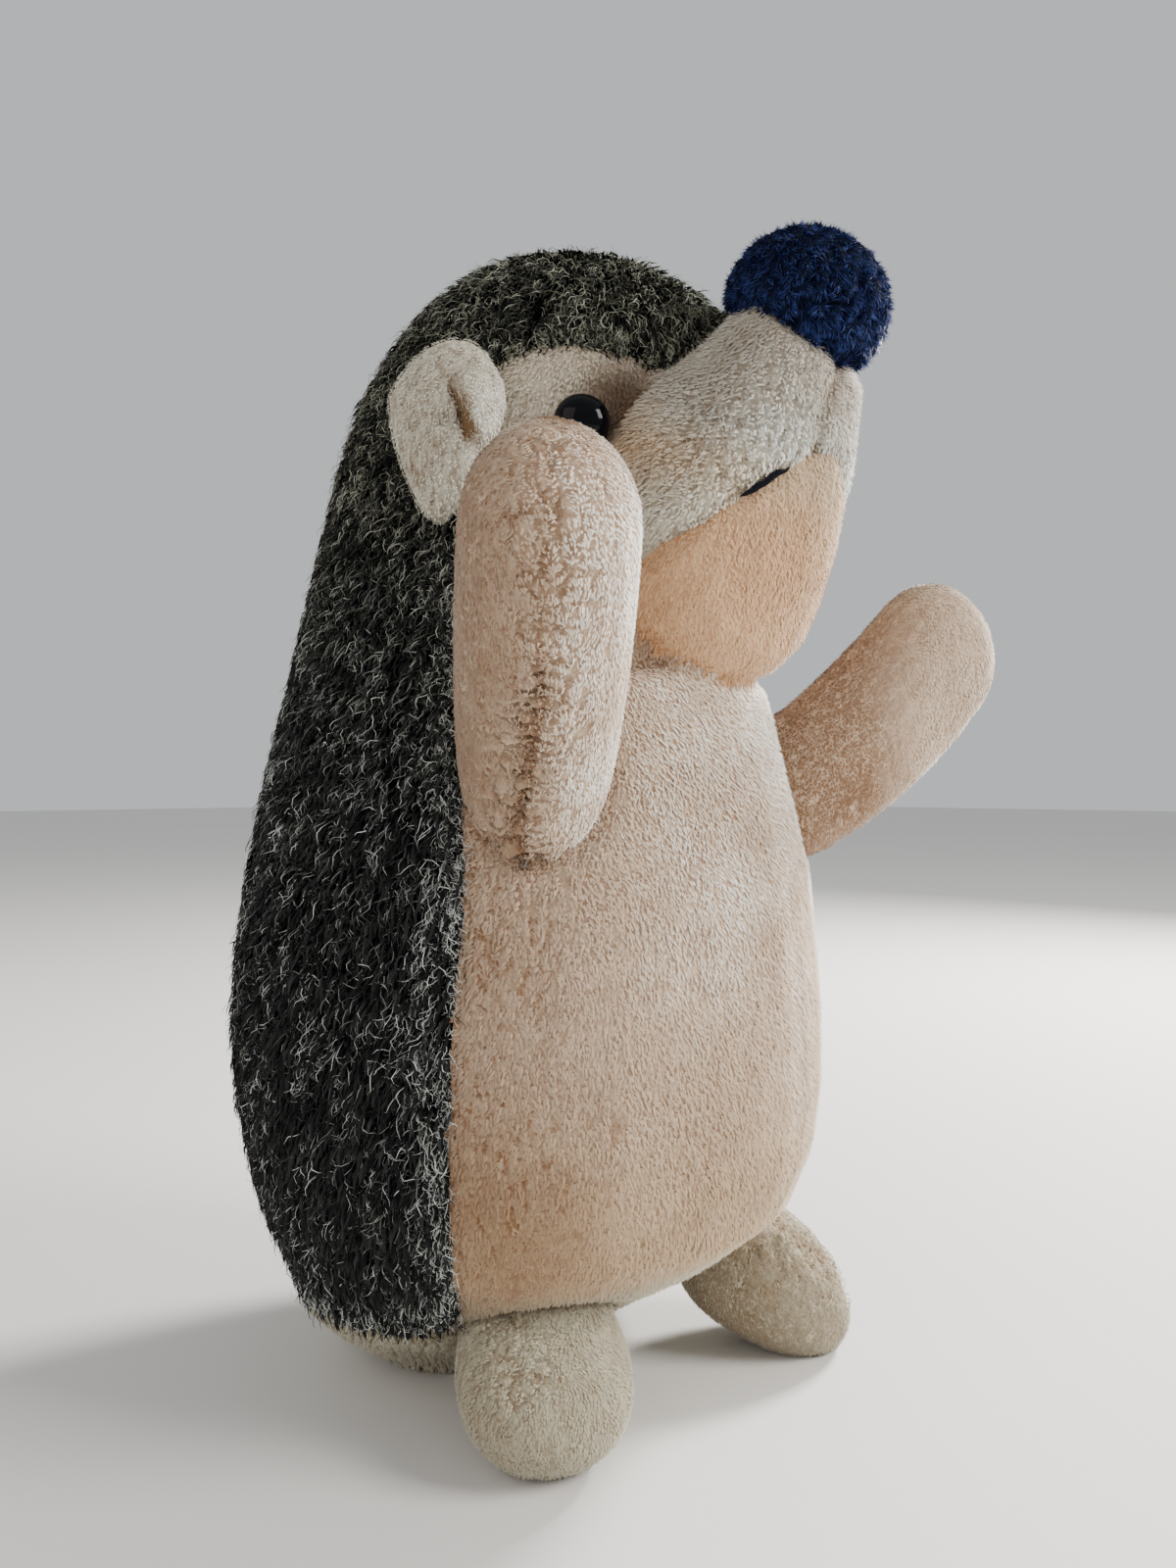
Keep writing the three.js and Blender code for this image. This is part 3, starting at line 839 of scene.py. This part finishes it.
def off_floor(skin):
    """1 over most of a skin, but near 0 where it rests on the floor, so that it still rests there."""
    under = smooth(-0.5, -0.9, skin.normals[:, 2]) * smooth(4 * MM, 1 * MM, skin.points[:, 2])
    return 1 - 0.85 * under


def falling(*lean, mess=0.3, size=7 * MM, seed=0):
    """A lie that runs down the form, leaning as told, with a little disorder."""
    way = np.array(lean or DOWN, dtype=float)

    def lies(points, normals):
        return way + swirl(points, size, seed) * mess

    return lies


def from_nose(points, normals):
    """The muzzle's pile is brushed back from the nose."""
    return unit(points - NOSE) + swirl(points, 6 * MM, 5) * 0.5


def cheek_nubs(points):
    """How clumped the muzzle's pile is: most in the middle of each cheek."""
    ahead, aside = points @ AHEAD - 72 * MM, np.abs(points @ HEAD_LEFT) - 22 * MM
    from_middle = np.sqrt(ahead ** 2 + aside ** 2 + (points[:, 2] - 203 * MM) ** 2)
    return 0.4 + 0.7 * smooth(26 * MM, 10 * MM, from_middle)


PILE_DENSITY = 2.4e6


def brushed(points):
    """How far the belly's pile is brushed smooth, from 0 on its right to 1 on its left."""
    return smooth(-30 * MM, 35 * MM, points @ unit(np.array([1.0, -1.0, 0])))


def belly_painted_light(points):
    """How much paler the belly's pile is painted: painted light on the brushed side, toward the
    lamps, and high up, with painted shade low down.
    """
    aside = points @ unit(np.array([1.0, -1.0, 0])) + (noise(points, 26 * MM, 43) - 0.5) * 16 * MM
    high = smooth(95 * MM, 150 * MM, points[:, 2])
    low = smooth(115 * MM, 60 * MM, points[:, 2])
    return 0.52 * smooth(-6 * MM, 34 * MM, aside) + 0.19 * high - 0.17 * low - 0.28


def velour(points):
    """How clumped the belly's pile is: least where it is brushed and low down."""
    side = brushed(points)
    low = smooth(70 * MM, 30 * MM, points[:, 2])
    return np.clip(1.1 - 0.85 * side - 0.5 * low, 0.25, 1) * (0.6 + 0.6 * noise(points, 22 * MM, 41))


def tan_pile(name, skin, kind, way, rng, clumped, size, stretch, relief=0.7 * MM, run=1.0 * MM,
             stand=0.95, width=0.6 * MM, density=PILE_DENSITY, extra=None):
    """Short plush pile that gathers into nubs, as much as clumped says, with shade painted dark
    between the nubs and in the creases.

    size and stretch are the nubs', relief how far they stand out, run and width each tuft's own, and
    stand its slope. extra adds to the tint, and brings in the painted light and shade of panels and
    limbs.
    """
    roots = scatter(skin, density, way, rng)
    near, to_middle, own = clumps(roots.points, size, 50, stretch)
    nub = smooth(0, 0.5, near)
    crease = roots.crease
    rough = clumped(roots.points) if callable(clumped) else np.full(len(roots), clumped)
    lies = roots.lies + to_middle / size * (1.2 * rough)[:, None]
    grain = (rng.random(len(roots)) - 0.5) * 0.07
    # Painted shade: paler on each nub's middle, darker between the nubs and in the creases; own and
    # grain vary the tone at random
    tint = 0.62 + rough * ((nub - 0.75) * 0.75 + (own - 0.5) * 0.14) - 0.6 * crease + grain
    if extra is not None:
        tint = tint + extra(roots.points)
    lean = to_middle / size / np.array(stretch)
    broad = unit(roots.normals + roots.soft * (0.4 + 4 * crease)[:, None])
    facing = broad - lean * (rough * (1 - 0.5 * crease))[:, None] + rng.normal(size=lean.shape) * 0.08
    facing = unit(facing + broad * np.maximum(0, 0.2 - np.sum(facing * broad, axis=-1))[:, None])
    roots = Roots(roots.points + roots.normals * (relief * rough * nub)[:, None], roots.normals, lies)
    return tufts(
        name, roots, plush(kind, True), rng,
        varied(run, len(roots), rng) * (1 - 0.5 * crease), varied(width, len(roots), rng),
        lift=varied(stand, len(roots), rng) * (1 - 0.85 * np.minimum(crease, 1)),
        droop=0.3, segments=1, ridge=0.28, tint=np.clip(tint, 0, 1), sink=0.15 * MM, facing=facing,
    )


# For each panel: its plush, the pile's lie, how clumped it is, the clumps' size and stretch, and
# how much paler or darker its pile is painted, as light and shade.
PANEL_PILES = {
    "belly": ("tan", falling(mess=0.3, seed=3), velour, 1.8 * MM, (1, 1, 1.8), belly_painted_light),
    "seat": ("tan", falling(mess=0.5, seed=3), 0.9, 1.8 * MM, (1, 1, 1), lambda p: -0.15),
    "face": ("face", falling(0, 0.5, -1, mess=0.2, seed=3), 0.5, 1.1 * MM, (1, 1, 3), None),
    "muzzle": ("muzzle", from_nose, cheek_nubs, 1.8 * MM, (1, 1, 1.4), None),
    "jaw": ("jaw", falling(mess=0.3, seed=3), 0.28, 1.4 * MM, (1, 1, 1.6), None),
}


def dress_body(rng):
    skins, fur_seam, face_seam = body_skins()
    for name, skin in skins.items():
        if name == "fur_ground":
            continue
        panel = skin.members[0]
        kind, way, clumped, size, stretch, paler = PANEL_PILES[panel]
        obj = as_object(name, skin, plush(kind))
        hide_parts(panel)
        tan_pile("pile_" + panel, skin, kind, way, rng, clumped, size, stretch, extra=paler)
    dark = skins["fur_ground"]
    obj = as_object("fur_ground", dark, fur("fur_ground", False))
    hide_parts(*DARK_PANELS)
    dark_fur(dark, fur_seam, face_seam, rng)


# ---- dark fur

FUR_CLUMP = 5.0 * MM
UNDER_DENSITY = 0.60e6       # broad dark tufts that close the ground
CURL_DENSITY = 0.75e6        # thin dark curls
WIRE_DENSITY = 0.66e6        # thin pale wires, and more of them beside the tan plush
SEAM_WIRES = 4.2
CROWN_WIRES = 1.4
FUR_BANDS = 4
UNDER_SIZE = (4.5 * MM, 0.8 * MM)                # the length and width of each kind of strand
CURL_SIZE = (4.8 * MM, 0.30 * MM)
WIRE_SIZE = (5.0 * MM, 0.15 * MM)


def paleness(points, own, from_seam, rng):
    """How pale each wire is: whitish beside the tan plush, and khaki in patches above."""
    spine = smooth(15 * MM, 60 * MM, points[:, 1])
    crown = smooth(90 * MM, 200 * MM, points[:, 2])
    beside = smooth(14 * MM, 2 * MM, from_seam) * (1 - 0.6 * crown)
    patch = smooth(0.25, 0.62, noise(points, 7 * MM, 11) * 0.5 + own * 0.5)
    base = 0.05 + (0.80 + 0.20 * crown + 0.1 * spine) * patch + 0.08 * crown + 1.2 * beside
    return np.clip(base * (0.5 + 1.0 * rng.random(len(points))), 0.03, 1)


def grow_bands(name, roots, bands, grow):
    """Grows roots in bands of height, so that no piece gets too large."""
    order = np.argsort(roots.points[:, 2])
    for band, chosen in enumerate(np.array_split(order, bands)):
        grow("%s_%d" % (name, band + 1), roots.pick(chosen), chosen)


def dark_fur(skin, fur_seam, face_seam, rng):
    """Broad dark tufts, thin dark curls over them, then pale curly wires.

    They are short and stand up over the brow, and fall everywhere else.
    """
    material = fur("fur_strand", True)
    fall = falling(0, 0.05, -1, mess=0.25, size=5 * MM, seed=7)

    def on_brow(points):
        above = smooth(197 * MM, 205 * MM, points[:, 2])
        return smooth(8 * MM, 1.5 * MM, distance_to(points, face_seam)) * above

    def way(points, normals):
        return fall(points, normals) - DOWN * (0.9 * on_brow(points))[:, None]

    def short(points):
        return 1 - 0.5 * on_brow(points)

    under = scatter(skin, UNDER_DENSITY, way, rng)
    tufts(
        "fur_under", under, material, rng,
        varied(UNDER_SIZE[0], len(under), rng) * short(under.points), UNDER_SIZE[1],
        lift=0.8, droop=0.4, curl=0.5 * MM, segments=2, ridge=0, roll=0.8,
        tint=0.035 * rng.random(len(under)),
    )
    curls = gathered(scatter(skin, CURL_DENSITY, way, rng), 0.3, rng)[0]
    high = smooth(90 * MM, 220 * MM, curls.points[:, 2])
    dim = 0.005 + (0.05 + 0.65 * high) * rng.random(len(curls)) ** 2

    def grow_curls(name, roots, chosen):
        n = len(roots)
        tufts(
            name, roots, material, rng,
            varied(CURL_SIZE[0], n, rng, 0.6, 0.8) * short(roots.points),
            varied(CURL_SIZE[1], n, rng), lift=0.25 + 0.5 * rng.random(n), droop=0.45,
            curl=0.7 * MM * (0.4 + rng.random(n)), turns=0.5 + 0.6 * rng.random(n), segments=4,
            ridge=0, roll=1.2, tint=dim[chosen],
        )

    grow_bands("fur_curl", curls, FUR_BANDS, grow_curls)
    wires = scatter(
        skin, lambda p: WIRE_DENSITY * (
            1 + SEAM_WIRES * smooth(12 * MM, 2 * MM, distance_to(p, fur_seam))
            + CROWN_WIRES * smooth(150 * MM, 230 * MM, p[:, 2])
        ), way, rng,
    )
    wires, own = gathered(wires, 0.5, rng, 0.25)
    to_seam = way_to(wires.points, fur_seam)
    from_seam = np.linalg.norm(to_seam, axis=-1)
    close = smooth(9 * MM, 1 * MM, from_seam)
    wires = Roots(wires.points, wires.normals, wires.lies + unit(to_seam) * (1.1 * close)[:, None])
    tint = paleness(wires.points, own, from_seam, rng)

    def grow_wires(name, roots, chosen):
        n = len(roots)
        tufts(
            name, roots, material, rng,
            varied((1 - 0.35 * close[chosen]) * WIRE_SIZE[0], n, rng, 0.6, 0.7) * short(roots.points),
            varied(WIRE_SIZE[1], n, rng, 0.8, 0.4), lift=0.15 + 0.6 * rng.random(n), droop=0.35,
            curl=1.0 * MM * (0.4 + 0.9 * rng.random(n)), turns=0.7 + 0.7 * rng.random(n), segments=5,
            ridge=0, roll=1.3, tint=tint[chosen],
        )

    grow_bands("fur_wire", wires, FUR_BANDS, grow_wires)


def gathered(roots, chaos, rng, thinned=1.0):
    """The roots leaning into clumps, each with some disorder of its own, and the clumps' numbers.

    thinned is the share of the roots that is kept between clumps.
    """
    near, to_middle, own = clumps(roots.points, FUR_CLUMP, 60, (1, 1, 2))
    lean = to_middle / FUR_CLUMP * np.array([1.0, 1.0, 0.4])
    lean = lean + rng.normal(size=roots.points.shape) * chaos
    kept = rng.random(len(roots)) < thinned + (1 - thinned) * smooth(0.05, 0.5, near)
    return Roots(roots.points, roots.normals, roots.lies + lean).pick(kept), own[kept]


# ---- limbs and ears


def long_axis(points):
    """The middle of a piece and the way that it is longest."""
    middle = points.mean(axis=0)
    return middle, axes_of(points - middle)[:, 2]


BODY_TREE = tree_of(PANELS)[0]


# For each limb: the way that its seam faces, how much the seam puckers, how nubby the pile is, how
# far the seam strays sideways toward the root, and how much paler the limb is, as painted light and
# shade: the far arm and far foot are painted darker.
ARMS = {
    "right": ((-0.9, -0.95, 0.2), 1.0, 1.2, -0.08, -0.02),
    "left": ((0.9, -0.6, 0.2), 0.2, 0.7, 0.0, -0.32),
}
FEET = {
    "right": ((-0.7, 0.3, 0.9), 0.8, 1.1, 0.0, -0.03),
    "left": ((0, -0.6, 1), 0.8, 1.1, 0.0, -0.48),
}
GROOVE_DEPTH = 1.2 * MM
GROOVE_WIDTH = 1.7 * MM
RUCK_REACH = 6.5 * MM        # how far beside the seam the cloth is rucked, and the pile nubby
NUB_REACH = 8 * MM
LADDER = 3.1 * MM            # from one ruck to the next along the seam


def dress_limb(node, rng, seam_way, gather, clumped, drift, tone, slope, nub):
    """A stuffed limb with a crumpled seam down its length.

    nub is how wide its nubs are, and slope how much paler it is painted across, from its right to its
    left: painted light, paler on the lit side.
    """
    skin = wrapped((node,), LIMB_VOXEL, 2)
    middle, axis = long_axis(skin.points)
    if axis[2] < 0:
        axis = -axis
    out = np.array(seam_way, dtype=float)
    out = out - axis * (out @ axis)
    out = out / np.linalg.norm(out)

    def from_seam(points):
        """How far each point is to the side of the seam, and how well it faces the seam's way."""
        local = points - middle
        wobble = (noise(points, 14 * MM, 21) - 0.5) * 6 * MM
        off = local @ np.cross(axis, out) + wobble + drift * np.minimum(local @ axis, 0)
        return off, smooth(0, 5 * MM, local @ out)

    along = (skin.points - middle) @ axis
    off, on_side = from_seam(skin.points)
    low = gather * (0.35 + 0.65 * smooth(12 * MM, -8 * MM, along))
    groove = bell(off, GROOVE_WIDTH) * on_side * (0.15 + 0.85 * low ** 1.5)
    beside = bell(off, RUCK_REACH) * on_side * low
    ladder = 0.5 + 0.5 * np.sin(along * (2 * math.pi / LADDER) + 7 * noise(skin.points, 5 * MM, 23))
    folds = np.abs(noise(skin.points * np.array([1, 1, 0.5]), 3.2 * MM, 22) * 2 - 1)
    rucked = gather * (1 + 0.8 * smooth(1 * MM, -1 * MM, off))
    lumps = 1.4 * ladder + 2.6 * (1 - folds) - 1.7
    depth = LIMB_DEPTH + GROOVE_DEPTH * groove + beside * MM * rucked * lumps
    near_body = np.array([BODY_TREE.find_nearest(Vector(p))[3] for p in skin.points])
    # Painted shade: the pile is tinted darker in the seam's groove, in the hollows of the rucks and
    # where the limb meets the body
    dimples = beside * rucked * (0.12 * ladder + 0.30 * (1 - folds) - 0.10)
    skin.crease = np.clip(0.72 * groove + dimples + 0.3 * bell(near_body, 1.0 * MM), 0, 1)
    settle(skin, depth * off_floor(skin), BODY_TREE, 2.6 * MM)
    obj = as_object("cloth_" + node, skin, plush("tan"))
    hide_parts(node)
    turned = unit(np.array([1.0, -1.0, 0.0]))

    def nubby(points):
        off, on_side = from_seam(points)
        return clumped * (0.2 + 0.8 * on_side * bell(off, NUB_REACH))

    # Painted light and shade: paler across toward the lamps by slope, and darker by tone on the far
    # limbs
    tan_pile(
        "pile_" + node, skin, "tan", falling(mess=0.5, seed=9), rng, nubby, nub, (1, 1, 1.7),
        relief=1.0 * MM, run=0.75 * MM, stand=0.75, width=0.5 * MM, density=2.9e6,
        extra=lambda p: slope * (smooth(-13 * MM, 12 * MM, (p - middle) @ turned) - 0.5) + tone,
    )


HOLLOW_DEPTH = 1.8 * MM
LOBE_RISE = 1.2 * MM


def dress_ear(side, rng):
    """A cupped ear: nubby outside, smooth pale rim and a hollow painted brown as shade."""
    node = "ear_" + side
    ear = EARS[SIDES.index(side)]
    skin = wrapped((node,), EAR_VOXEL, 2)
    place = (skin.points - ear.hollow) @ np.stack([ear.ahead, ear.out, [0, 0, 1]]).T
    bend = place[:, 0] + 0.32 * place[:, 2] - 0.01 * place[:, 2] ** 2 / MM
    front = smooth(-0.1, 0.3, skin.normals @ ear.out)
    inside = np.exp(-((bend / (1.0 * MM)) ** 2) - (place[:, 2] / (6.5 * MM)) ** 4) * front
    rolled = smooth(1.2 * MM, 3.5 * MM, bend) * smooth(10 * MM, 5 * MM, np.abs(place[:, 2])) * front
    depth = EAR_DEPTH + HOLLOW_DEPTH * inside - LOBE_RISE * rolled
    # Painted shade: the pile is tinted dark brown in the hollow and on its flank, most low down
    flank = np.exp(-(((bend - 1.6 * MM) / (1.5 * MM)) ** 2) - (place[:, 2] / (7.5 * MM)) ** 4) * front
    low = smooth(8 * MM, -3 * MM, place[:, 2])
    skin.crease = np.clip(inside * (0.6 + 0.6 * low) + 1.1 * flank * low, 0, 1.2)
    settle(skin, skin.relax(depth, 1), BODY_TREE, 2.0 * MM)
    obj = as_object("cloth_" + node, skin, plush("ear"))
    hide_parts(node)

    # The lobe's pile is paler: the rim's own cream, with a painted highlight on it
    def lobe(points):
        return smooth(1.5 * MM, 5 * MM, (points - ear.hollow) @ ear.ahead)

    tan_pile(
        "pile_" + node, skin, "ear", falling(mess=0.3, seed=13), rng, lambda p: 0.95 - 0.75 * lobe(p),
        1.3 * MM, (1, 1, 2.0), relief=0.5 * MM, run=0.6 * MM, width=0.4 * MM, density=3.0e6,
        extra=lambda p: 0.42 * lobe(p) + 0.03,
    )


# ---- nose, eyes and mouth


NOSE_NUB = 2.2 * MM
NAP_DENSITY = 4.5e6
NAP_SIZE = (1.3 * MM, 0.3 * MM)                  # the length and width of the nap's hairs


def dress_nose(rng):
    """A ball of navy chenille: packed nubs with a fine nap."""
    skin = wrapped(("nose",), NOSE_VOXEL, 2)
    lumps = smooth(0, 0.8, clumps(skin.points, NOSE_NUB, 31)[0])
    settle(skin, 1.9 * MM - lumps * 1.6 * MM, tree_of(("muzzle",))[0], 2.0 * MM)
    n = Nodes("nose_yarn")
    colour = n.mix(n.noise(2 * MM), (0.002, 0.003, 0.008), (0.006, 0.009, 0.025))
    n.bump(n.noise(0.5 * MM, 3), 0.4 * MM, 0.7)
    material = n.finish(colour, 0.9, Specular_IOR_Level=0.05)
    obj = as_object("yarn_nose", skin, material)
    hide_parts("nose")
    nap = Nodes("nose_nap")
    along, tint, chance = nap.tuft()
    hair = nap.mix(nap.math("MULTIPLY", tint, along), (0.0035, 0.0055, 0.022), (0.034, 0.064, 0.27))
    # Painted glints: a few nap hairs are painted bright blue, as highlights
    painted_glint = nap.math("MULTIPLY", nap.math("GREATER_THAN", chance, 0.97), 0.5)
    hair = nap.mix(painted_glint, hair, (0.10, 0.16, 0.40))
    nap_material = nap.finish(hair, 0.55, Specular_IOR_Level=0.12)
    roots = scatter(skin, NAP_DENSITY, falling(mess=1.5, size=2 * MM, seed=17), rng)
    # Painted shade: the nap is darker between the nubs and toward its roots
    near = smooth(0, 0.8, clumps(roots.points, NOSE_NUB, 31)[0])
    tufts(
        "nap_nose", roots, nap_material, rng,
        varied(NAP_SIZE[0], len(roots), rng, 0.6, 0.8), NAP_SIZE[1], lift=1.1, droop=0.3, segments=1,
        tint=np.clip(near * 0.9 + 0.3 * (rng.random(len(roots)) - 0.3), 0, 1),
    )


RIM = 0.92                   # the pile laps over the button's rim


def dome(node):
    """A smooth button with a node's middle and tilt, and nearly its size."""
    points = corners_of(node)
    middle = (points.min(axis=0) + points.max(axis=0)) / 2
    axes = axes_of(points - middle)
    half = np.abs((points - middle) @ axes).max(axis=0) * (1, RIM, RIM)
    rings, sides = 24, 48
    made, quads = [], []
    for i in range(rings + 1):
        tilt = math.pi * i / rings
        for j in range(sides):
            turn = 2 * math.pi * j / sides
            ball = (math.cos(tilt), math.sin(tilt) * math.cos(turn), math.sin(tilt) * math.sin(turn))
            made.append(middle + axes @ (ball * half))
    for i in range(rings):
        for j in range(sides):
            k = (j + 1) % sides
            quads.append((i * sides + j, i * sides + k, (i + 1) * sides + k, (i + 1) * sides + j))
    return Skin(np.array(made), np.array(quads))


def dress_eyes():
    n = Nodes("eye_gloss")
    colour = n.mix(n.noise(3 * MM), (0.0008, 0.001, 0.002), (0.002, 0.0022, 0.0035))
    n.bump(n.noise(0.8 * MM, 2), 0.02 * MM, 0.1)
    material = n.finish(colour, 0.08, Specular_IOR_Level=0.11)
    for side in SIDES:
        obj = as_object("gloss_eye_" + side, dome("eye_" + side), material)
        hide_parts("eye_" + side)


THREAD_SINK = {"mouth_right": 2.0 * MM, "mouth_left": 3.2 * MM}
PLY = 0.4 * MM
THREAD_DROP = 0.7 * MM


def stitch(node, material):
    """A thick thread of three twisted plies along a node."""
    points = corners_of(node)
    middle, axis = long_axis(points)
    reach = (points - middle) @ axis
    steps, plies, sides = 60, 3, 8
    bins = np.linspace(reach.min(), reach.max(), 9)
    spine = np.array([
        points[np.abs(reach - b) <= (bins[1] - bins[0]) * 0.9].mean(axis=0) for b in bins
    ])
    t = np.linspace(0, 8, steps)
    centre = np.stack([np.interp(t, np.arange(9), spine[:, k]) for k in range(3)], axis=-1)
    middle_of_snout = centre.mean(axis=0) * np.array([0.5, 0.5, 1])
    centre = centre + unit(middle_of_snout - centre) * THREAD_SINK[node] + DOWN * THREAD_DROP
    ahead = unit(np.gradient(centre, axis=0))
    side = unit(np.cross(ahead, [0.0, 0.0, 1.0]))
    up = np.cross(side, ahead)
    made, quads = [], []
    for ply in range(plies):
        start = len(made) * sides
        for k in range(steps):
            turn = 2 * math.pi * (k / 7 + ply / plies)
            taper = min(1, 0.2 + 3 * min(k, steps - 1 - k) / steps)
            heart = centre[k] + (side[k] * math.cos(turn) + up[k] * math.sin(turn)) * PLY * taper
            ring = [
                heart + (side[k] * math.cos(a) + up[k] * math.sin(a)) * PLY * taper
                for a in np.linspace(0, 2 * math.pi, sides, endpoint=False)
            ]
            made.append(ring)
        for k in range(steps - 1):
            for j in range(sides):
                a = start + k * sides + j
                b = start + k * sides + (j + 1) % sides
                quads.append((a, b, b + sides, a + sides))
    skin = Skin(np.array(made).reshape(-1, 3), np.array(quads))
    obj = as_object("thread_" + node, skin, material)
    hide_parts(node)


def dress_mouth():
    n = Nodes("mouth_thread")
    colour = n.mix(n.noise(0.6 * MM), (0.002, 0.0025, 0.006), (0.005, 0.006, 0.014))
    n.bump(n.noise(0.25 * MM, 3), 0.1 * MM, 0.6)
    material = n.finish(colour, 0.7, Specular_IOR_Level=0.15)
    for side in SIDES:
        stitch("mouth_" + side, material)


# ---- the whole toy

camera()
studio()
dress_body(np.random.default_rng(1))
for number, side in enumerate(SIDES):
    draws = np.random.default_rng
    dress_limb("arm_" + side, draws(10 + number), *ARMS[side], slope=1.0, nub=2.2 * MM)
    dress_limb("foot_" + side, draws(20 + number), *FEET[side], slope=0.2, nub=2.1 * MM)
    dress_ear(side, draws(30 + number))
dress_nose(np.random.default_rng(40))
dress_eyes()
dress_mouth()
